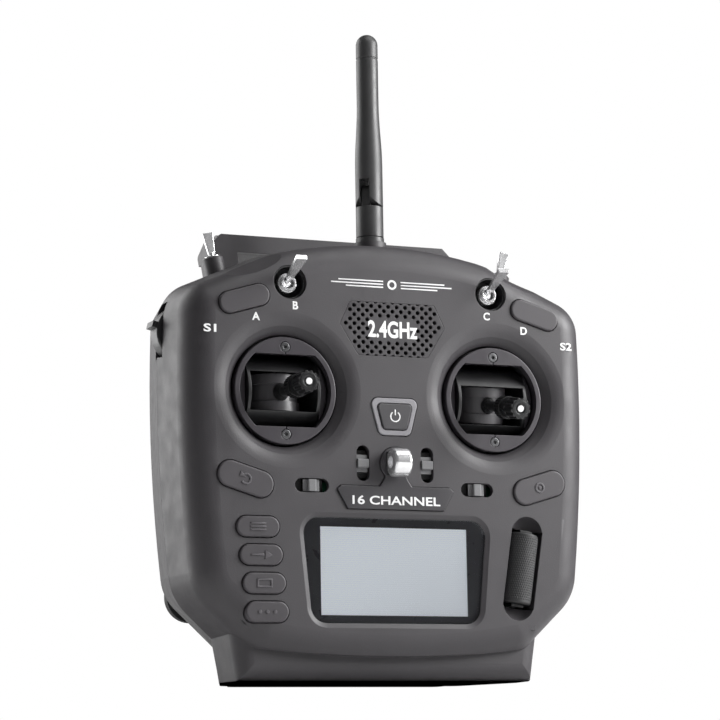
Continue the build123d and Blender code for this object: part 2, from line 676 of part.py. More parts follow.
with BuildSketch() as ring_openings:
    with Locations((-GIMBAL_X, GIMBAL_Z), (GIMBAL_X, GIMBAL_Z)):
        Circle(RING_OPENING_R)
    with Locations((0, GIMBAL_Z)):
        Rectangle(200, 2 * RING_CHORD, mode=Mode.INTERSECT)

with BuildPart() as gimbal_rings:
    for side in (-1, 1):
        add(slab(disc(side * GIMBAL_X, GIMBAL_Z, RING_R), RING_D, ring_back, 0.4))
    add(slab(ring_openings.sketch, 0, 9), mode=Mode.SUBTRACT)
    for x, z in screw_places:
        add(slab(disc(x, z, 2.05), RING_D - 1, RING_D + 1.2), mode=Mode.SUBTRACT)
        add(slab(disc(x, z, 0.95), RING_D, ring_back + 1), mode=Mode.SUBTRACT)
        with Locations((x, FRONT_Y + RING_D, (z * 3 + GIMBAL_Z) / 4)):
            Box(0.5, 1.0, 5.4, mode=Mode.SUBTRACT)
save(gimbal_rings, "gimbal_rings")

with BuildPart() as gimbal_screws:
    for place in screw_places:
        add(slab(disc(*place, 1.9), RING_D + 0.1, RING_D + 1.15, 0.3))
        add(slab(disc(*place, 0.7), RING_D, RING_D + 0.8), mode=Mode.SUBTRACT)
        add(slab(disc(*place, 0.9), RING_D + 1.15, ring_back - 0.1))
save(gimbal_screws, "gimbal_screws")

with BuildPart() as gimbal_housings:
    for side in (-1, 1):
        add(slab(disc(side * GIMBAL_X, GIMBAL_Z, RING_R - 0.1), ring_back + 0.1, 9.0))
    with BuildSketch(face_plane(HOUSING_BACK_D)):
        with Locations((-GIMBAL_X, GIMBAL_Z), (GIMBAL_X, GIMBAL_Z)):
            RectangleRounded(2 * HOUSING_HALF, 2 * HOUSING_HALF, 3)
    extrude(amount=HOUSING_BACK_D - 8.5)
    for side in (-1, 1):
        add(slab(disc(side * GIMBAL_X, GIMBAL_Z, RING_OPENING_R + 0.1), 0, 20), mode=Mode.SUBTRACT)
        with Locations(Location((side * GIMBAL_X, FRONT_Y + PIVOT_D, GIMBAL_Z), (0, 90, 0))):
            Cylinder(2.06, 2 * HOUSING_HALF, mode=Mode.SUBTRACT)
    with BuildSketch(face_plane(9.0)):
        with Locations((-GIMBAL_X, GIMBAL_Z), (GIMBAL_X, GIMBAL_Z)):
            Rectangle(32.8, 32.8)
    extrude(amount=-(HOUSING_BACK_D - 2 - 9), mode=Mode.SUBTRACT)
save(gimbal_housings, "gimbal_housings")

with BuildPart() as gimbal_cheeks:
    for side in (-1, 1):
        add(slab(disc(side * GIMBAL_X, GIMBAL_Z, RING_OPENING_R - 0.1), 6.0, 8.9, 0.8))
        with Locations((side * GIMBAL_X, FRONT_Y, GIMBAL_Z)):
            Box(2 * (YOKE_HALF + 0.4), 40, 60, mode=Mode.SUBTRACT)
save(gimbal_cheeks, "gimbal_cheeks")

for side in (-1, 1):
    label = side_name(side)
    pivot = stick_frame(side)

    with BuildPart(pivot) as yoke:
        Cylinder(YOKE_R, 2 * YOKE_HALF, rotation=(0, 90, 0))
        Cylinder(2.0, 2 * HOUSING_HALF - 0.4, rotation=(0, 90, 0))
        Cylinder(YOKE_R - YOKE_WALL, 2 * (YOKE_HALF - YOKE_WALL), rotation=(0, 90, 0), mode=Mode.SUBTRACT)
        Box(WINDOW_W, WINDOW_H, 20, align=(Align.CENTER, Align.CENTER, Align.MIN), mode=Mode.SUBTRACT)
        Cylinder(1.55, 2 * YOKE_R + 1, rotation=(90, 0, 0), mode=Mode.SUBTRACT)
    save(yoke, f"gimbal_yoke_{label}")

    with BuildPart(pivot) as drum:
        Cylinder(DRUM_R, 2 * DRUM_HALF, rotation=(90, 0, 0))
        Cylinder(DRUM_R + 1, 2 * BAND_HALF, rotation=(90, 0, 0), mode=Mode.SUBTRACT)
        Cylinder(DRUM_R - 0.7, 2 * BAND_HALF, rotation=(90, 0, 0))
        Cylinder(1.5, 2 * YOKE_R - 0.6, rotation=(90, 0, 0))
        with Locations((0, 0, 7)):
            Cylinder(STICK_POST_R + 0.02, 6, align=(Align.CENTER, Align.CENTER, Align.MIN), mode=Mode.SUBTRACT)
    save(drum, f"gimbal_drum_{label}")

    with BuildPart(pivot) as post:
        with Locations((0, 0, 7.05)):
            Cylinder(STICK_POST_R, 26, align=(Align.CENTER, Align.CENTER, Align.MIN))
        with Locations((0, 0, DRUM_R - 0.6)):
            Cone(3.2, STICK_POST_R, 3, align=(Align.CENTER, Align.CENTER, Align.MIN))
    save(post, f"stick_post_{label}")

    with BuildPart(pivot) as cap:
        with Locations((0, 0, 23.5)):
            Cylinder(CAP_NUT_R, 4.2, align=(Align.CENTER, Align.CENTER, Align.MIN))
        with Locations((0, 0, 27.7)):
            Cylinder(CAP_R - 0.9, STICK_REACH - 27.7, align=(Align.CENTER, Align.CENTER, Align.MIN))
        with Locations((0, 0, 29.0)):
            Cylinder(CAP_R, STICK_REACH - 29.0 - 0.2, align=(Align.CENTER, Align.CENTER, Align.MIN))
        with PolarLocations(CAP_R + 0.25, CAP_TEETH):
            with Locations((0, 0, 36)):
                Cylinder(0.75, 8, mode=Mode.SUBTRACT)
        with PolarLocations(CAP_NUT_R + 0.3, 2 * CAP_TEETH):
            with Locations((0, 0, 25.6)):
                Cylinder(0.5, 5, mode=Mode.SUBTRACT)
        with Locations((0, 0, STICK_REACH)):
            Cone(1.2, 2.2, 0.7, align=(Align.CENTER, Align.CENTER, Align.MAX), mode=Mode.SUBTRACT)
        Cylinder(STICK_POST_R + 0.02, 33.2, align=(Align.CENTER, Align.CENTER, Align.MIN), mode=Mode.SUBTRACT)
    save(cap, f"stick_cap_{label}")

# ---------------------------------------------------------------- toggle switches
with BuildPart() as toggle_cups:
    for side in (-1, 1):
        add(slab(disc(side * FRONT_TOGGLE[0], FRONT_TOGGLE[1], CUP_R - 0.1), 1.4, 1.4 + CUP_DEPTH))
        add(slab(disc(side * FRONT_TOGGLE[0], FRONT_TOGGLE[1], CUP_R - 0.7), 0, 0.6 + CUP_DEPTH), mode=Mode.SUBTRACT)
        add(slab(disc(side * FRONT_TOGGLE[0], FRONT_TOGGLE[1], BUSHING_R + 0.05), 0, 10), mode=Mode.SUBTRACT)
save(toggle_cups, "toggle_cups")

with BuildPart() as shoulder_collars:
    for side in (-1, 1):
        with BuildPart(shoulder_frame(side, -6), mode=Mode.PRIVATE) as collar:
            Cylinder(SHOULDER_COLLAR_R, 6 + SHOULDER_COLLAR_H, align=(Align.CENTER, Align.CENTER, Align.MIN))
            chamfer(collar.edges().sort_by(Axis.Z)[-1], 0.5)
            Cylinder(BUSHING_R + 0.05, 30, mode=Mode.SUBTRACT)
        add(collar.part)
save(shoulder_collars, "shoulder_collars")

with BuildPart() as toggle_bushings:
    for side in (-1, 1):
        for frame, front in (
            (Plane(front_lever_frame(side).origin, x_dir=(1, 0, 0), z_dir=(0, -1, 0)), 2.6),
            (shoulder_frame(side, SHOULDER_COLLAR_H - 2.6), 2.9),
        ):
            with BuildPart(frame, mode=Mode.PRIVATE) as bushing:
                with Locations((0, 0, front)):
                    Cylinder(BUSHING_R, 8, align=(Align.CENTER, Align.CENTER, Align.MAX))
                with Locations((0, 0, front)):
                    Cylinder(BUSHING_BORE_R, 6.5, align=(Align.CENTER, Align.CENTER, Align.MAX), mode=Mode.SUBTRACT)
            add(bushing.part)
save(toggle_bushings, "toggle_bushings")

with BuildPart() as toggle_nuts:
    for side in (-1, 1):
        place = (side * FRONT_TOGGLE[0], FRONT_TOGGLE[1])
        add(slab(disc(*place, NUT_R), 2.6, 5.0, 0.4))
        add(slab(disc(*place, BUSHING_R + 0.05), 0, 9), mode=Mode.SUBTRACT)
save(toggle_nuts, "toggle_nuts")

for base in ("front", "shoulder"):
    for side in (-1, 1):
        if base == "front":
            frame = front_lever_frame(side)
            length = FRONT_LEVER_LENGTH
        else:
            frame = shoulder_frame(side, SHOULDER_COLLAR_H - 2.6)
            length = SHOULDER_LEVER_LENGTH - SHOULDER_COLLAR_H + 2.6
        with BuildPart(frame) as lever:
            Sphere(LEVER_BALL_R)
            Cylinder(0.9, 4.4, align=(Align.CENTER, Align.CENTER, Align.MIN))
            with BuildSketch(frame.offset(3.6)):
                RectangleRounded(2.7, 1.3, 0.3)
            with BuildSketch(frame.offset(length)):
                RectangleRounded(4.4, 1.9, 0.3)
            loft()
        save(lever, f"toggle_lever_{base}_{side_name(side)}")

with BuildPart() as toggle_cases:
    for side in (-1, 1):
        with Locations((side * FRONT_TOGGLE[0], FRONT_Y + 9.4, FRONT_TOGGLE[1])):
            Box(9.6, 11, 12, align=(Align.CENTER, Align.MIN, Align.CENTER))
        with Locations(shoulder_frame(side, -6.1).location):
            Box(8.6, 7.4, 8, align=(Align.CENTER, Align.CENTER, Align.MAX))
save(toggle_cases, "toggle_cases")

# ---------------------------------------------------------------- roller and side dials
with BuildPart(roller_frame()) as roller:
    Cylinder(ROLLER_R, ROLLER_LENGTH)
    chamfer(roller.edges().filter_by(GeomType.CIRCLE), 0.4)
    Cylinder(ROLLER_AXLE_R, ROLLER_LENGTH + 2.4)
save(roller, "scroll_roller")

with BuildPart() as roller_carrier:
    with BuildPart(roller_frame(), mode=Mode.PRIVATE) as fork:
        for end in (-1, 1):
            with Locations((0, 0, end * (ROLLER_LENGTH / 2 + 0.75))):
                Box(5.0, 5.0, 0.9)
                with Locations((0, 5.0, 0)):
                    Box(5.0, 10.0, 0.9)
        with Locations((0, 9.4, 0)):
            Box(9.0, 1.6, ROLLER_LENGTH + 2.4)
        Cylinder(ROLLER_AXLE_R + 0.05, ROLLER_LENGTH + 4, mode=Mode.SUBTRACT)
    add(fork.part)
save(roller_carrier, "roller_carrier")

for side in (-1, 1):
    centre = dial_centre(side)
    with BuildPart() as dial:
        with Locations(Location(centre, (90, 0, 0))):
            Cylinder(DIAL_R, 2 * DIAL_HALF)
            fillet(dial.edges().filter_by(GeomType.CIRCLE), 0.8)
        with Locations(Location(centre, (0, -side * 14, 0))):
            with Locations((side * (DIAL_R - 1), 0, 0)):
                Box(2 * (DIAL_FIN - DIAL_R + 1), 2 * DIAL_HALF - 1, 2.4)
        with Locations(Location(centre, (90, 0, 0))):
            Cylinder(DIAL_AXLE_R, 2 * DIAL_HALF + 4)
    save(dial, f"side_dial_{side_name(side)}")

with BuildPart() as dial_brackets:
    for side in (-1, 1):
        x, y, z = dial_centre(side)
        with Locations((x - side * 14.5, y, z)):
            Box(3.5, 14, 8)
        for end in (-1, 1):
            with Locations((x - side * 6.5, y + end * 6.1, z)):
                Box(19, 1.8, 8)
        with Locations(Location((x, y, z), (90, 0, 0))):
            Cylinder(DIAL_AXLE_R + 0.06, 20, mode=Mode.SUBTRACT)
save(dial_brackets, "dial_brackets")

# ---------------------------------------------------------------- antenna
with BuildPart() as antenna_base:
    with Locations((0, FRONT_Y + ANTENNA_D, BODY_TOP_Z + 1.2)):
        Cylinder(5.5, ANTENNA_BASE_TOP_Z - BODY_TOP_Z - 1.2, align=(Align.CENTER, Align.CENTER, Align.MIN))
        Cylinder(4.1, 14, align=(Align.CENTER, Align.CENTER, Align.MAX))
        Cylinder(2.05, 40, mode=Mode.SUBTRACT)
save(antenna_base, "antenna_base")

hinge_turn = -45.0       # the fold's hinge pin points this way in plan, degrees from X
hinge_x = (cos(radians(hinge_turn)), sin(radians(hinge_turn)), 0)
antenna_frame = Plane(origin=(0, FRONT_Y + ANTENNA_D, HINGE_Z), x_dir=hinge_x, z_dir=(0, 0, 1))
with BuildPart(antenna_frame) as knuckle:
    with Locations((0, 0, KNUCKLE_Z[0] - HINGE_Z)):
        Cylinder(ANTENNA_R, KNUCKLE_Z[1] - KNUCKLE_Z[0], align=(Align.CENTER, Align.CENTER, Align.MIN))
        Cylinder(2.0, 9, align=(Align.CENTER, Align.CENTER, Align.MAX))
    Cylinder(3.6, 2 * TONGUE_HALF, rotation=(0, 90, 0))
    Box(2 * TONGUE_HALF, 7.2, HINGE_Z - KNUCKLE_Z[1] + 0.5, align=(Align.CENTER, Align.CENTER, Align.MAX))
    Cylinder(HINGE_PIN_R + 0.05, 20, rotation=(0, 90, 0), mode=Mode.SUBTRACT)
save(knuckle, "antenna_knuckle")

with BuildPart(antenna_frame) as hinge_pin:
    Cylinder(HINGE_PIN_R, 9.6, rotation=(0, 90, 0))
save(hinge_pin, "antenna_hinge_pin")

mast_foot_z = KNUCKLE_Z[1] + 0.4
with BuildPart() as mast:
    with BuildSketch(Plane(origin=(0, FRONT_Y + ANTENNA_D, 0), x_dir=hinge_x, z_dir=Vector(hinge_x).cross(Vector(0, 0, 1)))):
        with BuildLine():
            foot = Polyline((0, MAST_TOP_Z - 10), (0, mast_foot_z), (ANTENNA_R, mast_foot_z), (ANTENNA_R, 200))
            taper = Spline((ANTENNA_R, 200), (MAST_TIP_R, MAST_WAIST_Z), tangents=[(0, 1), (0, 1)])
            shaft = Line((MAST_TIP_R, MAST_WAIST_Z), (MAST_TIP_R, MAST_GROOVE_Z - 0.4))
            Polyline(
                (MAST_TIP_R, MAST_GROOVE_Z - 0.4), (MAST_TIP_R - 0.3, MAST_GROOVE_Z - 0.2),
                (MAST_TIP_R - 0.3, MAST_GROOVE_Z + 0.2), (MAST_TIP_R, MAST_GROOVE_Z + 0.4),
                (MAST_TIP_R, MAST_TOP_Z - MAST_TIP_R),
            )
            tip_reach = MAST_TIP_R * sin(radians(45))
            ThreePointArc(
                (MAST_TIP_R, MAST_TOP_Z - MAST_TIP_R), (tip_reach, MAST_TOP_Z - MAST_TIP_R + tip_reach), (0, MAST_TOP_Z),
            )
            Line((0, MAST_TOP_Z), (0, MAST_TOP_Z - 10))
        make_face()
    revolve(axis=Axis((0, FRONT_Y + ANTENNA_D, 0), (0, 0, 1)))
    # fork at the foot: the slot for the tongue and the rounded corner that lets it fold forwards
    with BuildPart(antenna_frame, mode=Mode.PRIVATE) as slot:
        Box(2 * TONGUE_HALF + 0.5, 14, 2 * 5.2)
    add(slot.part, mode=Mode.SUBTRACT)
    with BuildPart(antenna_frame, mode=Mode.PRIVATE) as corner:
        with Locations((0, -3.5, -3.5)):
            Box(14, 7, 7)
        Cylinder(HINGE_Z - mast_foot_z, 20, rotation=(0, 90, 0), mode=Mode.SUBTRACT)
    add(corner.part, mode=Mode.SUBTRACT)
    with BuildPart(antenna_frame, mode=Mode.PRIVATE) as pin_bore:
        Cylinder(HINGE_PIN_R + 0.02, 9.8, rotation=(0, 90, 0))
    add(pin_bore.part, mode=Mode.SUBTRACT)
save(mast, "antenna_mast")

# ---------------------------------------------------------------- handle, back covers, inner parts
with BuildPart() as handle:
    with BuildSketch(face_plane(HANDLE_FRONT_D)):
        Polygon(
            (-HANDLE_HALF + 3, HANDLE_FOOT_Z), (-HANDLE_HALF - 3, HANDLE_TOP_Z - 12), (-HANDLE_HALF - 2, HANDLE_TOP_Z - 4),
            (-HANDLE_HALF + 2, HANDLE_TOP_Z), (HANDLE_HALF - 2, HANDLE_TOP_Z), (HANDLE_HALF + 2, HANDLE_TOP_Z - 4),
            (HANDLE_HALF + 3, HANDLE_TOP_Z - 12), (HANDLE_HALF - 3, HANDLE_FOOT_Z),
            align=None,
        )
        Polygon(
            (-HANDLE_OPEN_HALF + 3, HANDLE_FOOT_Z - 5), (-HANDLE_OPEN_HALF, HANDLE_TOP_Z - HANDLE_BAR),
            (HANDLE_OPEN_HALF, HANDLE_TOP_Z - HANDLE_BAR), (HANDLE_OPEN_HALF - 3, HANDLE_FOOT_Z - 5),
            align=None, mode=Mode.SUBTRACT,
        )
        fillet(vertices().filter_by(lambda v: v.Z > HANDLE_TOP_Z - HANDLE_BAR - 1), 3)
    extrude(amount=-10)
    with BuildSketch(Plane.YZ.offset(-HANDLE_HALF + 1)):
        with BuildLine():
            Polyline(
                (FRONT_Y + 60, HANDLE_TOP_Z - HANDLE_BAR), (FRONT_Y + 60, HANDLE_TOP_Z),
                (FRONT_Y + HANDLE_BACK_D - 8, HANDLE_TOP_Z - 0.4), (FRONT_Y + HANDLE_BACK_D, HANDLE_TOP_Z - 5),
                (FRONT_Y + HANDLE_BACK_D - 2, HANDLE_TOP_Z - 9), (FRONT_Y + HANDLE_BACK_D - 12, HANDLE_TOP_Z - HANDLE_BAR - 1),
                (FRONT_Y + 60, HANDLE_TOP_Z - HANDLE_BAR),
            )
        make_face()
        fillet(vertices().sort_by(Axis.Y)[2:], 1.6)
    extrude(amount=2 * HANDLE_HALF - 2)
    for side in (-1, 1):
        with Locations((side * 42.5, FRONT_Y + BACK_D + 0.1, HANDLE_FOOT_Z + 7)):
            Box(8, HANDLE_FRONT_D - BACK_D + 1, 13, align=(Align.CENTER, Align.MIN, Align.CENTER))
save(handle, "handle")

with BuildPart() as battery_cover:
    with Locations((0, FRONT_Y + BAY_BACK_D - COVER_T - 0.15, 1.8)):
        Box(2 * BAY_HALF - 3.6, COVER_T + 0.8, BAY_TOP_Z - 2.2, align=(Align.CENTER, Align.MIN, Align.MIN))
    for row in range(5):
        with Locations((0, FRONT_Y + BAY_BACK_D + 0.65, 40 + 3 * row)):
            Box(26 - 3 * row, 0.8, 1.2, align=(Align.CENTER, Align.MIN, Align.CENTER))
save(battery_cover, "battery_cover")

with BuildPart() as module_cover:
    add(slab(module_outline(), BACK_D - 0.75, BACK_D + 2.2))
    fillet(module_cover.faces().sort_by(Axis.Y)[-1].edges(), 1.0)
save(module_cover, "module_bay_cover")

with BuildPart() as shell_screws:
    for x, z in SHELL_SCREWS:
        add(slab(disc(x, z, SCREW_HEAD_R), BACK_D - 1.55, BACK_D - 0.2))
        add(slab(disc(x, z, SCREW_R), BACK_D - 7.5, BACK_D - 1.55))
        add(slab(disc(x, z, 1.1), BACK_D - 1.2, BACK_D), mode=Mode.SUBTRACT)
save(shell_screws, "shell_screws")

with BuildPart() as grip_pads:
    for side in (-1, 1):
        add(slab(pill(side * GRIP_X, GRIP_Z, *GRIP_SIZE, 90 + side * 6), BACK_D + 0.05, BACK_D + GRIP_T))
    fillet(grip_pads.faces().filter_by(Axis.Y).group_by(Axis.Y)[-1].edges(), 6.5)
save(grip_pads, "grip_pads")

with BuildPart() as battery_cells:
    for z in CELL_ZS:
        with Locations(Location((0, FRONT_Y + CELL_D, z), (0, 90, 0))):
            Cylinder(CELL_R, CELL_LENGTH)
    chamfer(battery_cells.edges().filter_by(GeomType.CIRCLE), 0.6)
save(battery_cells, "battery_cells")

with BuildPart() as main_pcb:
    with Locations((0, FRONT_Y + 17, 46)):
        Box(104, 1.6, 58)
    with Locations((-20, FRONT_Y + 17.8, 40)):
        Box(14, 1.4, 14, align=(Align.CENTER, Align.MIN, Align.CENTER))
save(main_pcb, "main_pcb")
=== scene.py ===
import bmesh
import bpy
from math import cos, pi, radians, sin
from mathutils import Matrix, Vector
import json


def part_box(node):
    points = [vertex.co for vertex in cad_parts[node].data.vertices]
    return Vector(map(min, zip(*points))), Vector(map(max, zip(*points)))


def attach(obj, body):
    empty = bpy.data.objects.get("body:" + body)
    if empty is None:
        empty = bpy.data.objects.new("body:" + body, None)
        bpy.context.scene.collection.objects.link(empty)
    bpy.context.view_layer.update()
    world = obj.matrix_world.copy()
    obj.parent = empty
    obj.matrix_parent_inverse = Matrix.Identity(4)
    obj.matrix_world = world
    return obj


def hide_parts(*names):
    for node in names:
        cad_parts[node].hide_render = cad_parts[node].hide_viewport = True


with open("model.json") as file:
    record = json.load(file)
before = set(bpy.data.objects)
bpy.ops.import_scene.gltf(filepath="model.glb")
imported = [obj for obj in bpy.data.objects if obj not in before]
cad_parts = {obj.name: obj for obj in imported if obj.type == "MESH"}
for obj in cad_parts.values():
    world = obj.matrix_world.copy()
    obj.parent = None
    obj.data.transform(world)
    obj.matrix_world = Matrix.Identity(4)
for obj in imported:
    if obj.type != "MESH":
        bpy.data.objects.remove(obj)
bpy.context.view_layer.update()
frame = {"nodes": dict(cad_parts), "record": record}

MM = 0.001
FACE_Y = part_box("front_shell")[0].y
INK = 0.05 * MM            # thickness of printed marks
RAISED = 0.25 * MM         # height of moulded marks

# camera: turned left of the front, below the object and looking up
CAMERA_AZIMUTH = radians(22.825)
CAMERA_RISE = radians(9.151)
CAMERA_ROLL = radians(-0.944)
CAMERA_DISTANCE = 1.05
CAMERA_TARGET = Vector((0.0030, 0.0016, 0.1269))
CAMERA_LENS = 133.31


def centre(node):
    """Middle of a CAD node's box."""
    low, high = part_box(node)
    return (low + high) / 2


# ---------------------------------------------------------------- materials
def link(tree, source, target):
    tree.links.new(source, target)


def map_range(tree, value, low, high, out_low, out_high):
    """A clamped linear map of a value."""
    node = tree.nodes.new("ShaderNodeMapRange")
    node.inputs["From Min"].default_value = low
    node.inputs["From Max"].default_value = high
    node.inputs["To Min"].default_value = out_low
    node.inputs["To Max"].default_value = out_high
    link(tree, value, node.inputs["Value"])
    return node.outputs["Result"]


def noise(tree, coords, size, detail=2.0):
    """Noise whose features are about size metres across."""
    node = tree.nodes.new("ShaderNodeTexNoise")
    node.inputs["Scale"].default_value = 1 / size
    node.inputs["Detail"].default_value = detail
    link(tree, coords, node.inputs["Vector"])
    return node.outputs["Fac"]


def times(tree, first, second):
    """Product of two values."""
    node = tree.nodes.new("ShaderNodeMath")
    node.operation = "MULTIPLY"
    link(tree, first, node.inputs[0])
    if isinstance(second, float):
        node.inputs[1].default_value = second
    else:
        link(tree, second, node.inputs[1])
    return node.outputs[0]


def mix(tree, factor, first, second):
    """Colour between two colours; each is a socket or a plain colour."""
    node = tree.nodes.new("ShaderNodeMix")
    node.data_type = "RGBA"
    link(tree, factor, node.inputs["Factor"])
    for value, socket in ((first, node.inputs[6]), (second, node.inputs[7])):
        if isinstance(value, tuple):
            socket.default_value = (*value, 1)
        else:
            link(tree, value, socket)
    return node.outputs[2]


def shade(colour, factor):
    """A lighter or darker version of a colour."""
    return tuple(min(1.0, part * factor) for part in colour)


def edge_mask(tree, bevel, coords, wear):
    """High along worn edges, where the rounded normal leaves the surface's own."""
    geometry = tree.nodes.new("ShaderNodeNewGeometry")
    dot = tree.nodes.new("ShaderNodeVectorMath")
    dot.operation = "DOT_PRODUCT"
    link(tree, bevel, dot.inputs[0])
    link(tree, geometry.outputs["Normal"], dot.inputs[1])
    edge = map_range(tree, dot.outputs["Value"], 0.995, 0.85, 0.0, wear)
    patchy = map_range(tree, noise(tree, coords, 6 * MM, 3.0), 0.38, 0.62, 0.35, 1.0)
    return times(tree, edge, patchy)


def material(name, colour, rough, grain=0.45, depth=0.02, mottle=0.05, wear=0.3, metal=0.0, coat=0.0,
             specular=0.5, edge=0.35, streak=None, spread=0.06):
    """Moulded or metal surface: grain, cloudy colour, uneven roughness, rounded and worn edges."""
    made = bpy.data.materials.new(name)
    made.use_nodes = True
    tree = made.node_tree
    surface = tree.nodes["Principled BSDF"]
    coords = tree.nodes.new("ShaderNodeTexCoord").outputs["Object"]
    if streak:
        stretch = tree.nodes.new("ShaderNodeMapping")
        stretch.inputs["Scale"].default_value = streak
        link(tree, coords, stretch.inputs["Vector"])
        grain_coords = stretch.outputs["Vector"]
    else:
        grain_coords = coords

    bevel = tree.nodes.new("ShaderNodeBevel")
    bevel.samples = 4
    bevel.inputs["Radius"].default_value = edge * MM
    fine = noise(tree, grain_coords, grain * MM, 3.0)
    cloud = noise(tree, coords, 22 * MM, 3.0)

    cloudiness = map_range(tree, cloud, 0.3, 0.7, 0.0, 1.0)
    mottled = mix(tree, cloudiness, shade(colour, 1 - mottle), shade(colour, 1 + mottle))
    speckled = mix(tree, map_range(tree, fine, 0.35, 0.65, 0.0, 0.35), mottled, shade(colour, 0.75))
    worn = mix(tree, edge_mask(tree, bevel.outputs["Normal"], coords, wear), speckled, shade(colour, 1.9))
    link(tree, worn, surface.inputs["Base Color"])
    uneven = noise(tree, coords, 7 * MM, 4.0)
    link(tree, map_range(tree, uneven, 0.3, 0.7, rough - spread, rough + spread), surface.inputs["Roughness"])

    bump = tree.nodes.new("ShaderNodeBump")
    bump.inputs["Strength"].default_value = 1.0
    bump.inputs["Distance"].default_value = depth * MM
    link(tree, fine, bump.inputs["Height"])
    link(tree, bevel.outputs["Normal"], bump.inputs["Normal"])
    link(tree, bump.outputs["Normal"], surface.inputs["Normal"])
    surface.inputs["Metallic"].default_value = metal
    surface.inputs["Coat Weight"].default_value = coat
    surface.inputs["Specular IOR Level"].default_value = specular
    return made


def display_material():
    """Pale display, a little self-lit: cool grey, with painted shade making it darker to the lower right,
    with faint rows.
    """
    made = bpy.data.materials.new("display")
    made.use_nodes = True
    tree = made.node_tree
    surface = tree.nodes["Principled BSDF"]
    coords = tree.nodes.new("ShaderNodeTexCoord").outputs["Object"]
    low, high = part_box("lcd_panel")
    split = tree.nodes.new("ShaderNodeSeparateXYZ")
    link(tree, coords, split.inputs[0])
    across = map_range(tree, split.outputs["X"], low.x, high.x, 0.0, 1.0)
    down = map_range(tree, split.outputs["Z"], high.z, low.z, 0.0, 1.0)
    # painted shade: the display darkens towards its lower right corner, where the bezel's shadow falls
    lower_right_shade = times(tree, across, down)
    sheet = mix(tree, lower_right_shade, (0.80, 0.83, 0.86), (0.66, 0.68, 0.71))
    wave = tree.nodes.new("ShaderNodeTexWave")
    wave.bands_direction = "Z"
    wave.inputs["Scale"].default_value = 400.0
    link(tree, coords, wave.inputs["Vector"])
    rows = mix(tree, map_range(tree, wave.outputs["Fac"], 0.0, 1.0, 0.0, 0.12), sheet, (0.45, 0.47, 0.5))
    link(tree, rows, surface.inputs["Base Color"])
    link(tree, rows, surface.inputs["Emission Color"])
    surface.inputs["Emission Strength"].default_value = 0.42
    surface.inputs["Roughness"].default_value = 0.35
    return made


def lens_material():
    """Thin clear pane: see-through straight on, mirror-like at a glance."""
    made = bpy.data.materials.new("lens")
    made.use_nodes = True
    tree = made.node_tree
    tree.nodes.remove(tree.nodes["Principled BSDF"])
    clear = tree.nodes.new("ShaderNodeBsdfTransparent")
    clear.inputs["Color"].default_value = (0.96, 0.97, 0.98, 1)
    gloss = tree.nodes.new("ShaderNodeBsdfGlossy")
    gloss.inputs["Roughness"].default_value = 0.08
    facing = tree.nodes.new("ShaderNodeFresnel")
    facing.inputs["IOR"].default_value = 1.45
    blend = tree.nodes.new("ShaderNodeMixShader")
    link(tree, facing.outputs[0], blend.inputs[0])
    link(tree, clear.outputs[0], blend.inputs[1])
    link(tree, gloss.outputs[0], blend.inputs[2])
    link(tree, blend.outputs[0], tree.nodes["Material Output"].inputs["Surface"])
    return made


MATERIALS = {
    "shell": material("shell", (0.040, 0.037, 0.041), 0.50, grain=0.5, depth=0.035),
    "smooth_plastic": material("smooth_plastic", (0.040, 0.037, 0.041), 0.42, grain=0.4, depth=0.015),
    "key": material("key", (0.044, 0.040, 0.045), 0.5, grain=0.35, depth=0.012, wear=0.2),
    "trim_plastic": material("trim_plastic", (0.16, 0.16, 0.165), 0.42, grain=0.3, depth=0.01),
    "power_key": material("power_key", (0.036, 0.034, 0.038), 0.5, grain=0.35, depth=0.012),
    "power_light": material("power_light", (0.22, 0.215, 0.23), 0.45, grain=0.3, depth=0.01),
    "lens": lens_material(),
    "screen_print": material("screen_print", (0.050, 0.047, 0.053), 0.32, grain=0.3, depth=0.003, wear=0.0,
                             edge=0.0),
    "display": display_material(),
    "label": material("label", (0.036, 0.034, 0.038), 0.38, grain=0.4, depth=0.006),
    "chrome": material("chrome", (0.86, 0.86, 0.87), 0.2, grain=1.5, depth=0.004, mottle=0.02, wear=0.0,
                       metal=0.75, edge=0.3, spread=0.04),
    "ring_plastic": material("ring_plastic", (0.040, 0.036, 0.042), 0.36, grain=0.4, depth=0.01, wear=0.9),
    "black_plastic": material("black_plastic", (0.012, 0.012, 0.013), 0.4, grain=0.35, depth=0.01, wear=0.6),
    "drum_plastic": material("drum_plastic", (0.05, 0.048, 0.052), 0.35, grain=0.35, depth=0.008, wear=0.4),
    "stick_metal": material("stick_metal", (0.02, 0.02, 0.021), 0.33, grain=0.3, depth=0.008, wear=0.8,
                            metal=0.3),
    "roller": material("roller", (0.02, 0.02, 0.021), 0.45, grain=0.3, depth=0.01, wear=0.5),
    "antenna_plastic": material("antenna_plastic", (0.042, 0.042, 0.043), 0.42, grain=0.5, depth=0.012),
    "steel": material("steel", (0.14, 0.14, 0.145), 0.34, grain=0.3, depth=0.006, metal=1.0, wear=0.2,
                      streak=(1.0, 6.0, 1.0)),
    "rubber": material("rubber", (0.024, 0.024, 0.025), 0.7, grain=0.9, depth=0.07, wear=0.15),
    "cell": material("cell", (0.08, 0.2, 0.42), 0.4),
    "board": material("board", (0.02, 0.12, 0.06), 0.45),
}
INK_WHITE = material("ink_white", (0.80, 0.80, 0.80), 0.55, grain=0.2, depth=0.004, mottle=0.03, wear=0.0)
KEY_MARK = material("key_mark", (0.085, 0.08, 0.087), 0.35, grain=0.35, depth=0.008, wear=0.3)

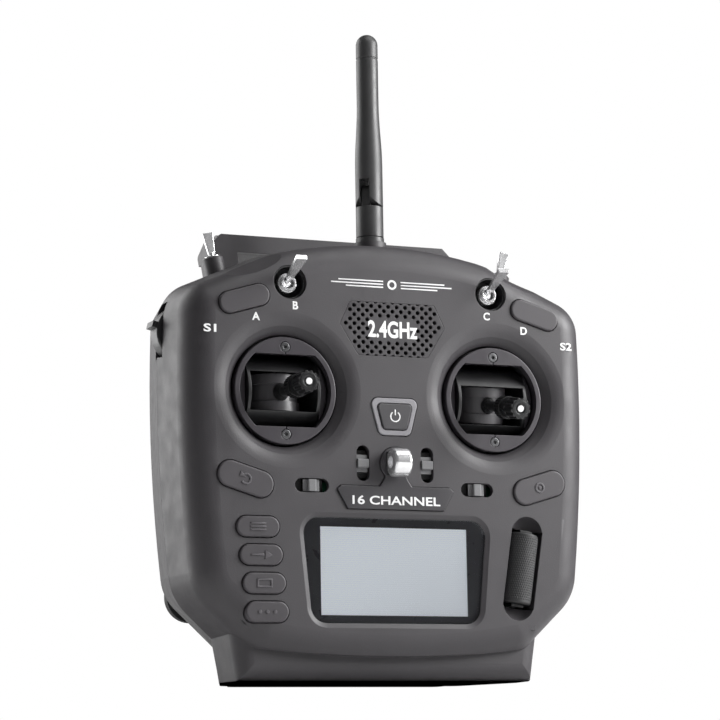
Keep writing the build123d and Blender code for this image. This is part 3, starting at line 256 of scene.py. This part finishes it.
def paint_recess_shade(look, depth, colour=(0.01, 0.01, 0.01)):
    """Paints shade into a finish further behind the face than depth metres: the colour turns dark deep in a
    recess, where shade falls.
    """
    tree = look.node_tree
    colour_socket = tree.nodes["Principled BSDF"].inputs["Base Color"]
    plain = colour_socket.links[0].from_socket
    split = tree.nodes.new("ShaderNodeSeparateXYZ")
    link(tree, tree.nodes.new("ShaderNodeTexCoord").outputs["Object"], split.inputs[0])
    # painted shade mask: 0 down to depth behind the face, 1 from 0.4 mm deeper
    recess_shade = map_range(tree, split.outputs["Y"], FACE_Y + depth, FACE_Y + depth + 0.4 * MM, 0.0, 1.0)
    link(tree, mix(tree, recess_shade, plain, colour), colour_socket)


# painted shade in the trim slots: the trim finish turns dark more than 1.2 mm behind the face
paint_recess_shade(MATERIALS["trim_plastic"], 1.2 * MM)

for row in frame["record"]["materials"]:
    assert row["slot"] in MATERIALS, row["slot"]
for node, thing in frame["nodes"].items():
    for place in thing.material_slots:
        place.material = MATERIALS[place.material.name.split(".")[0]]


# ---------------------------------------------------------------- pieces
def add_piece(name, mesh, body, look):
    """Adds a mesh piece that moves with body and takes the finish look."""
    piece = bpy.data.objects.new(name, mesh)
    bpy.context.scene.collection.objects.link(piece)
    mesh.name = name
    mesh.materials.clear()
    mesh.materials.append(look)
    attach(piece, body)
    return piece


def to_mesh(curve, place):
    """Turns a curve into a mesh in world coordinates."""
    holder = bpy.data.objects.new("holder", curve)
    mesh = bpy.data.meshes.new_from_object(holder)
    bpy.data.objects.remove(holder)
    mesh.transform(place)
    return mesh


def face_matrix(x, y, z, tilt=0.0):
    """Places a flat drawing upright, facing the user, turned by tilt degrees."""
    turned = Matrix.Rotation(radians(tilt), 4, "Y") @ Matrix.Rotation(pi / 2, 4, "X")
    return Matrix.Translation((x, y, z)) @ turned


def lettering(name, words, x, z, height, surface_y, body, look, thickness=INK, bold=0.0, width=None):
    """Printed or moulded characters, centred at x, z and height metres tall."""
    curve = bpy.data.curves.new(name, "FONT")
    curve.body = words
    curve.offset = bold
    curve.resolution_u = 4
    curve.extrude = 0.5
    mesh = to_mesh(curve, Matrix.Identity(4))
    xs = [v.co.x for v in mesh.vertices]
    ys = [v.co.y for v in mesh.vertices]
    scale = height / (max(ys) - min(ys))
    scale_x = width / (max(xs) - min(xs)) if width else scale
    mesh.transform(Matrix.Translation((-(max(xs) + min(xs)) / 2, -(max(ys) + min(ys)) / 2, 0)))
    mesh.transform(Matrix.Diagonal((scale_x, scale, 2 * thickness, 1)))
    mesh.transform(face_matrix(x, surface_y, z))
    return add_piece(name, mesh, body, look)


def drawing(loops):
    """Flat mesh drawing, extruded, from closed outlines in metres; an outline inside another is a hole."""
    curve = bpy.data.curves.new("drawing", "CURVE")
    curve.dimensions = "2D"
    curve.fill_mode = "BOTH"
    curve.extrude = 1.0
    for loop in loops:
        spline = curve.splines.new("POLY")
        spline.points.add(len(loop) - 1)
        for point, (u, v) in zip(spline.points, loop):
            point.co = (u, v, 0, 1)
        spline.use_cyclic_u = True
    return curve


def mark(name, loops, x, z, surface_y, body, look, thickness=INK, tilt=0.0):
    """Printed or moulded sign, from outlines round its own middle."""
    mesh = to_mesh(drawing(loops), Matrix.Diagonal((1, 1, thickness, 1)))
    mesh.transform(face_matrix(x, surface_y, z, tilt))
    return add_piece(name, mesh, body, look)


def box_loop(u, v, width, height):
    return [(u - width / 2, v - height / 2), (u + width / 2, v - height / 2),
            (u + width / 2, v + height / 2), (u - width / 2, v + height / 2)]


def arc_loop(radius, width, start, end, steps=28):
    """Outline of a ring's arc between two angles in degrees."""
    turns = [radians(start + (end - start) * i / steps) for i in range(steps + 1)]
    outer = [((radius + width / 2) * cos(t), (radius + width / 2) * sin(t)) for t in turns]
    inner = [((radius - width / 2) * cos(t), (radius - width / 2) * sin(t)) for t in reversed(turns)]
    return outer + inner


def circle_loop(radius, u=0.0, v=0.0, steps=32):
    turns = [2 * pi * i / steps for i in range(steps)]
    return [(u + radius * cos(turn), v + radius * sin(turn)) for turn in turns]


# printed letters beside the toggles and dials
PRINT_HEIGHT = 3.1 * MM
PRINT_BOLD = 0.03
DIAL_PRINT_X = 73.6 * MM
cups_low, cups_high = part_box("toggle_cups")
cup_radius = (cups_high.z - cups_low.z) / 2
for side, toggle_word, key_word, dial_word in ((-1, "B", "A", "S1"), (1, "C", "D", "S2")):
    label = "left" if side < 0 else "right"
    cup = Vector((side * (cups_high.x - cup_radius), 0, cups_high.z - cup_radius))
    key = centre(f"shoulder_key_{label}")
    dial = centre(f"side_dial_{label}")
    lettering(f"print_{toggle_word}", toggle_word, cup.x - side * 2.0 * MM, cup.z - 8.9 * MM, PRINT_HEIGHT,
              FACE_Y, "body", INK_WHITE, bold=PRINT_BOLD)
    lettering(f"print_{key_word}", key_word, key.x - side * 4.6 * MM, key.z - 6.4 * MM, PRINT_HEIGHT,
              FACE_Y, "body", INK_WHITE, bold=PRINT_BOLD)
    lettering(f"print_{dial_word}", dial_word, side * DIAL_PRINT_X, dial.z - 1.7 * MM, PRINT_HEIGHT,
              FACE_Y, "body", INK_WHITE, bold=PRINT_BOLD, width=5.0 * MM)

# generic marks on the badge, above it and on the label plate
lettering("badge_words", "2.4GHz", 0, centre("speaker_grille").z, 6.6 * MM, FACE_Y, "body",
          INK_WHITE, bold=PRINT_BOLD, width=20.5 * MM)
plate_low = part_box("label_plate")[0]
PLATE_WORDS_RISE = 3.4 * MM
lettering("plate_words", "16 CHANNEL", 0, plate_low.z + PLATE_WORDS_RISE, 3.4 * MM, plate_low.y, "body",
          INK_WHITE, bold=0.02, width=36 * MM)
stripes = [circle_loop(1.9 * MM), circle_loop(1.1 * MM)]
for side in (-1, 1):
    for rise, reach in ((1.15, 22.0), (0.0, 25.0), (-1.15, 19.0)):
        start = 3.6 * MM
        stripes.append(box_loop(side * (start + reach * MM) / 2, rise * MM, reach * MM - start, 0.5 * MM))
mark("face_stripes", stripes, 0, cups_high.z - cup_radius + 1.2 * MM, FACE_Y, "body", INK_WHITE)

# power sign
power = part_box("power_button")
power_middle = centre("power_button")
mark("power_sign", [arc_loop(1.9 * MM, 0.45 * MM, 125, 415), box_loop(0, 1.6 * MM, 0.45 * MM, 2.2 * MM)],
     power_middle.x, power_middle.z, power[0].y, "power_button", INK_WHITE)

# moulded signs on the keys
SIGNS = {
    "column_key_1": [box_loop(0, rise * MM, 6 * MM, 0.6 * MM) for rise in (1.2, 0, -1.2)],
    "column_key_2": [
        box_loop(-1.6 * MM, 0, 5 * MM, 0.7 * MM),
        [(1.4 * MM, -1.6 * MM), (4.2 * MM, 0), (1.4 * MM, 1.6 * MM)],
    ],
    "column_key_3": [box_loop(0, 0, 6.0 * MM, 3.2 * MM), box_loop(0, 0, 4.8 * MM, 2.0 * MM)],
    "column_key_4": [circle_loop(0.7 * MM, -3 * MM), circle_loop(0.7 * MM), circle_loop(0.7 * MM, 3 * MM)],
    "oblong_key_left": [
        arc_loop(1.8 * MM, 0.7 * MM, -150, 120),
        [(-2.6 * MM, 1.0 * MM), (-0.3 * MM, 0.7 * MM), (-1.9 * MM, 2.9 * MM)],
    ],
    "oblong_key_right": [circle_loop(2.0 * MM), circle_loop(1.3 * MM), circle_loop(0.6 * MM)],
}
for node, loops in SIGNS.items():
    middle = centre(node)
    mark(f"{node}_sign", loops, middle.x, middle.z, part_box(node)[0].y, node, KEY_MARK,
         thickness=RAISED)

# white dots in the ends of the sticks
PIVOT_DEPTH = 17 * MM
stick_reach = FACE_Y + PIVOT_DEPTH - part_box("stick_cap_left")[0].y
for label in ("left", "right"):
    pivot = Vector((centre(f"gimbal_yoke_{label}").x, FACE_Y + PIVOT_DEPTH, centre("gimbal_rings").z))
    drop = radians(10.0 if label == "right" else 0.0)
    out = Vector((0, -cos(drop), -sin(drop)))
    place = Matrix.Translation(pivot + out * stick_reach) @ out.to_track_quat("Z", "Y").to_matrix().to_4x4()
    mesh = to_mesh(drawing([circle_loop(1.25 * MM)]), Matrix.Diagonal((1, 1, 0.1 * MM, 1)))
    mesh.transform(place)
    add_piece(f"stick_dot_{label}", mesh, f"stick_{label}", INK_WHITE)


ROLLER_TILT = radians(9.0)
ROLLER_RADIUS = 5.85 * MM
ROLLER_HALF = 13.5 * MM
ROLLER_CHAMFER = 0.5 * MM
ROLLER_GRID = (168, 150)   # points round the roller and steps along it
KNURLS = (42, 30)          # crossings round the roller and along it
KNURL_HEIGHT = 0.28 * MM


def knurled_roller():
    """Roller with diamond knurling, in place of the plain one."""
    low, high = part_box("scroll_roller")
    around, along = ROLLER_GRID
    teeth, ribs = KNURLS
    mesh_maker = bmesh.new()
    rings = []
    for j in range(along + 1):
        v = j / along
        height = (2 * v - 1) * ROLLER_HALF
        margin = ROLLER_HALF - abs(height)
        rim = min(1.0, max(0.0, margin / (1.0 * MM) - 0.7))
        body_radius = ROLLER_RADIUS - max(0.0, ROLLER_CHAMFER - margin)
        ring = []
        for i in range(around):
            u = i / around
            one_way = max(0.0, sin(pi * (teeth * u * 2 + ribs * v)))
            other_way = max(0.0, sin(pi * (teeth * u * 2 - ribs * v)))
            bump = one_way * other_way
            radius = body_radius + rim * KNURL_HEIGHT * bump
            ring.append(mesh_maker.verts.new((radius * cos(2 * pi * u), radius * sin(2 * pi * u), height)))
        rings.append(ring)
    for first, second in zip(rings, rings[1:]):
        for i in range(around):
            k = (i + 1) % around
            mesh_maker.faces.new((first[i], first[k], second[k], second[i]))
    mesh_maker.faces.new(list(reversed(rings[0])))
    mesh_maker.faces.new(rings[-1])
    mesh = bpy.data.meshes.new("roller")
    mesh_maker.to_mesh(mesh)
    mesh_maker.free()
    mesh.transform(Matrix.Translation((low + high) / 2) @ Matrix.Rotation(ROLLER_TILT, 4, "Y"))
    piece = add_piece("knurled_roller", mesh, "scroll_roller", MATERIALS["roller"])
    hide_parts("scroll_roller")


knurled_roller()


# ---------------------------------------------------------------- floor, lights and camera
def floor_material():
    """Pale matt floor, solid from above only."""
    made = bpy.data.materials.new("floor")
    made.use_nodes = True
    tree = made.node_tree
    surface = tree.nodes["Principled BSDF"]
    surface.inputs["Base Color"].default_value = (0.82, 0.82, 0.82, 1)
    surface.inputs["Roughness"].default_value = 0.85
    clear = tree.nodes.new("ShaderNodeBsdfTransparent")
    geometry = tree.nodes.new("ShaderNodeNewGeometry")
    blend = tree.nodes.new("ShaderNodeMixShader")
    link(tree, geometry.outputs["Backfacing"], blend.inputs[0])
    link(tree, surface.outputs[0], blend.inputs[1])
    link(tree, clear.outputs[0], blend.inputs[2])
    link(tree, blend.outputs[0], tree.nodes["Material Output"].inputs["Surface"])
    return made


FLOOR_HALF = 2.5
floor_mesh = bpy.data.meshes.new("floor")
corners = [(u * FLOOR_HALF, v * FLOOR_HALF, 0) for u, v in ((-1, -1), (1, -1), (1, 1), (-1, 1))]
floor_mesh.from_pydata(corners, [], [(0, 1, 2, 3)])
floor_mesh.materials.append(floor_material())
floor = bpy.data.objects.new("floor", floor_mesh)
bpy.context.scene.collection.objects.link(floor)

world = bpy.data.worlds.new("studio")
bpy.context.scene.world = world
world.use_nodes = True
backdrop = world.node_tree.nodes["Background"]
backdrop.inputs["Color"].default_value = (1, 1, 1, 1)
rays = world.node_tree.nodes.new("ShaderNodeLightPath")
AMBIENT = 0.10             # light from the surroundings; the camera itself sees them white
strength = map_range(world.node_tree, rays.outputs["Is Camera Ray"], 0.0, 1.0, AMBIENT, 1.0)
link(world.node_tree, strength, backdrop.inputs["Strength"])


def softbox(name, azimuth, rise, distance, width, height, power):
    """Large area light aimed at the body; azimuth counts from the front towards the right."""
    data = bpy.data.lights.new(name, "AREA")
    data.shape = "RECTANGLE"
    data.size = width
    data.size_y = height
    data.energy = power
    light = bpy.data.objects.new(name, data)
    turn, lift = radians(azimuth), radians(rise)
    away = Vector((sin(turn) * cos(lift), -cos(turn) * cos(lift), sin(lift)))
    light.location = Vector((0, 0, 0.11)) + away * distance
    light.rotation_euler = (-away).to_track_quat("-Z", "Y").to_euler()
    bpy.context.scene.collection.objects.link(light)
    return light


softbox("key_light", 58, 22, 0.80, 0.45, 0.5, 12)
softbox("side_light", -138, 20, 0.85, 0.8, 0.9, 8)
softbox("top_light", 40, 70, 0.8, 0.8, 0.5, 3)
softbox("front_light", 8, -20, 1.0, 0.5, 0.3, 2)

camera_data = bpy.data.cameras.new("camera")
camera_data.lens = CAMERA_LENS
camera_data.sensor_width = 36.0
camera_data.clip_start = 0.01
camera = bpy.data.objects.new("camera", camera_data)
bpy.context.scene.collection.objects.link(camera)
forward = Vector((
    sin(CAMERA_AZIMUTH) * cos(CAMERA_RISE), cos(CAMERA_AZIMUTH) * cos(CAMERA_RISE), sin(CAMERA_RISE),
))
level = Vector((cos(CAMERA_AZIMUTH), -sin(CAMERA_AZIMUTH), 0))
upright = level.cross(forward)
right = level * cos(CAMERA_ROLL) + upright * sin(CAMERA_ROLL)
up = right.cross(forward)
axes = Matrix((right, up, -forward)).transposed().to_4x4()
camera.matrix_world = Matrix.Translation(CAMERA_TARGET - forward * CAMERA_DISTANCE) @ axes
bpy.context.scene.camera = camera
bpy.context.scene.view_settings.view_transform = "Standard"
